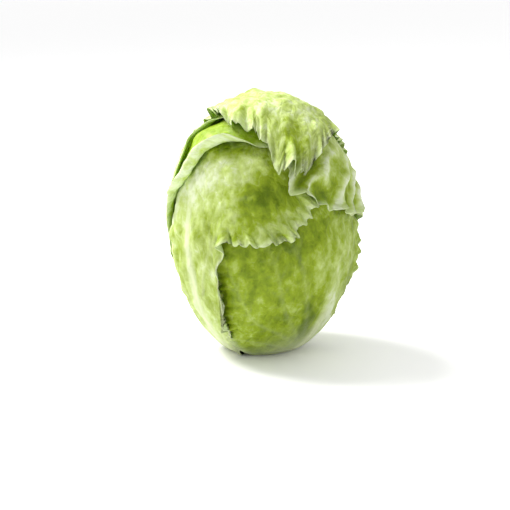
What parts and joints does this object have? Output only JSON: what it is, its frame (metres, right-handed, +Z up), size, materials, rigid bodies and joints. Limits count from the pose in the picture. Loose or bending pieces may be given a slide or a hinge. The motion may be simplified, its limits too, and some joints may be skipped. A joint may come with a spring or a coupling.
{
  "type": "iceberg lettuce",
  "caption": "Whole round head of crisp lettuce: pale green, crinkled leaves wrapped tightly over one another round a short stem that is cut flat underneath.",
  "frame": {"origin": "centre of the stem's flat cut face, level with the surface that the head stands on", "axes": "+Z up from the cut face through the heart to the crown; +X to the right and -Y towards the viewer of the side where the crown leaf's ruffled flap hangs"},
  "size_m": [0.1482, 0.1463, 0.1942],
  "materials": {
    "stem": "matte",
    "heart": "satin",
    "heart_leaf": "satin",
    "outer_leaf": "satin"
  },
  "bodies": {
    "root": {"stem": "stem", "heart": "heart", "heart_leaf_01": "heart_leaf", "heart_leaf_02": "heart_leaf", "heart_leaf_03": "heart_leaf", "heart_leaf_04": "heart_leaf", "heart_leaf_05": "heart_leaf", "heart_leaf_06": "heart_leaf", "heart_leaf_07": "heart_leaf", "right_under_leaf": "outer_leaf", "back_under_leaf": "outer_leaf", "front_right_leaf": "outer_leaf", "front_left_leaf": "outer_leaf", "left_shoulder_leaf": "outer_leaf", "left_fold_leaf": "outer_leaf", "right_shoulder_leaf": "outer_leaf", "cap_leaf": "outer_leaf"}
  },
  "joints": []
}
